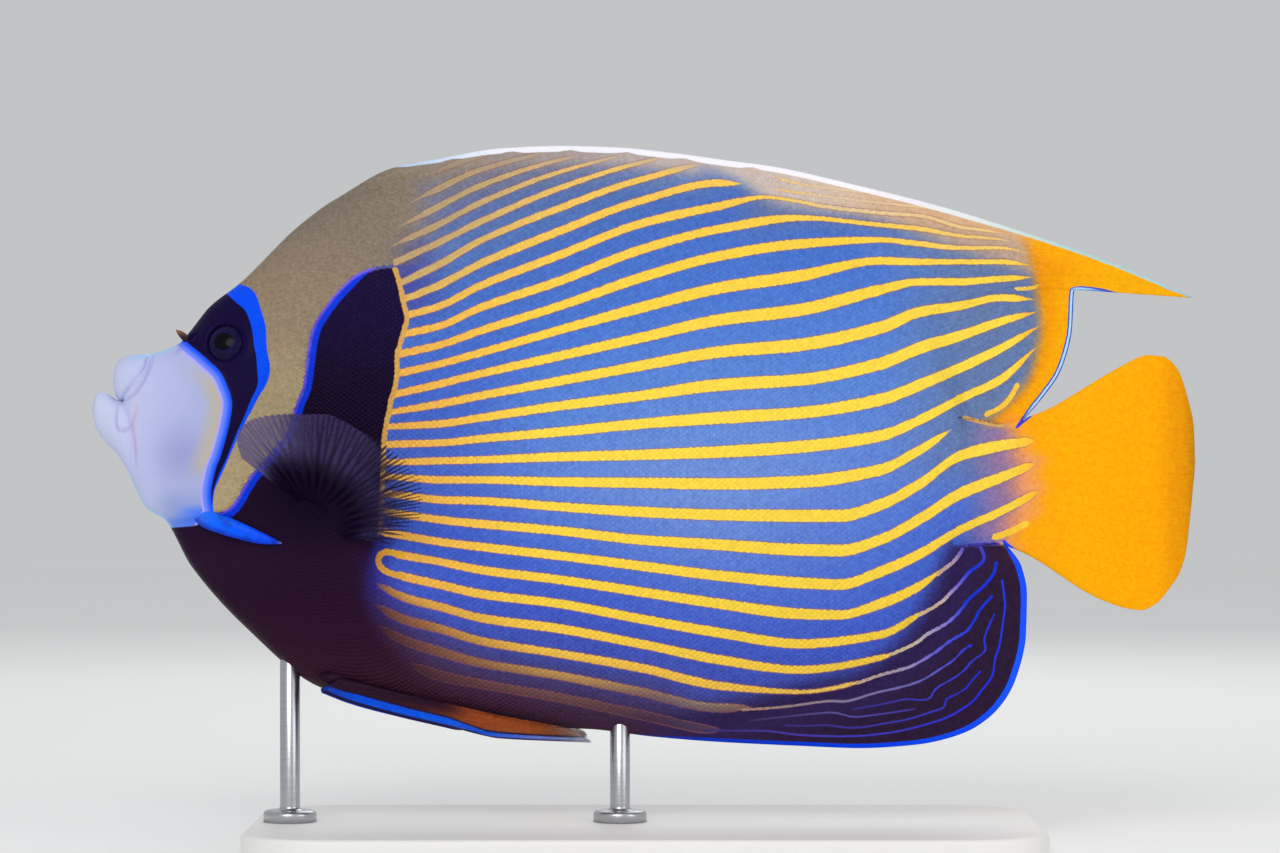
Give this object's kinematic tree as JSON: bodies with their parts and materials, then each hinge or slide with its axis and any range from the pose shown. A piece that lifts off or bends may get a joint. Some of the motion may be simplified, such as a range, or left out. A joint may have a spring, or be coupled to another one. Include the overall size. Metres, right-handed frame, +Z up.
{
  "type": "emperor angelfish",
  "caption": "Still, life-size adult emperor angelfish swimming level with spread fins, held on rods over a plain flat display base.",
  "frame": {"origin": "centre of the whole part's box in X and Y, on the underside of the stand's base", "axes": "+Z up, -X towards the fish's lips, +X towards its tail, the fish's left side faces -Y"},
  "size_m": [0.331, 0.118, 0.2107],
  "materials": {
    "head_skin": "smooth wet skin, pale mask, dark eye band and tan cheek",
    "trunk_skin": "finely scaled skin, blue with narrow yellow stripes",
    "eye": "wet and glossy",
    "cheek_spine": "smooth bright blue spine with a pale tip",
    "dorsal_fin": "rayed fin, striped below a pale edge, orange behind",
    "anal_fin": "rayed dark fin with wavy blue lines and a blue edge",
    "caudal_fin": "finely rayed yellow-orange fin",
    "pectoral_fin": "thin dark rayed fin, clear between the rays",
    "pelvic_fin": "rayed fin, blue along its leading edge",
    "stand_rod": "satin",
    "stand_base": "satin, plain"
  },
  "bodies": {
    "root": {"head": "head_skin", "trunk": "trunk_skin", "tail_stem": "trunk_skin", "eye_left": "eye", "eye_right": "eye", "cheek_spine_left": "cheek_spine", "cheek_spine_right": "cheek_spine", "dorsal_fin_spiny": "dorsal_fin", "dorsal_fin_soft": "dorsal_fin", "anal_fin": "anal_fin", "caudal_fin": "caudal_fin", "pectoral_fin_left": "pectoral_fin", "pectoral_fin_right": "pectoral_fin", "pelvic_fin_left": "pelvic_fin", "pelvic_fin_right": "pelvic_fin", "stand_rod_front": "stand_rod", "stand_rod_rear": "stand_rod", "stand_base": "stand_base"}
  },
  "joints": []
}
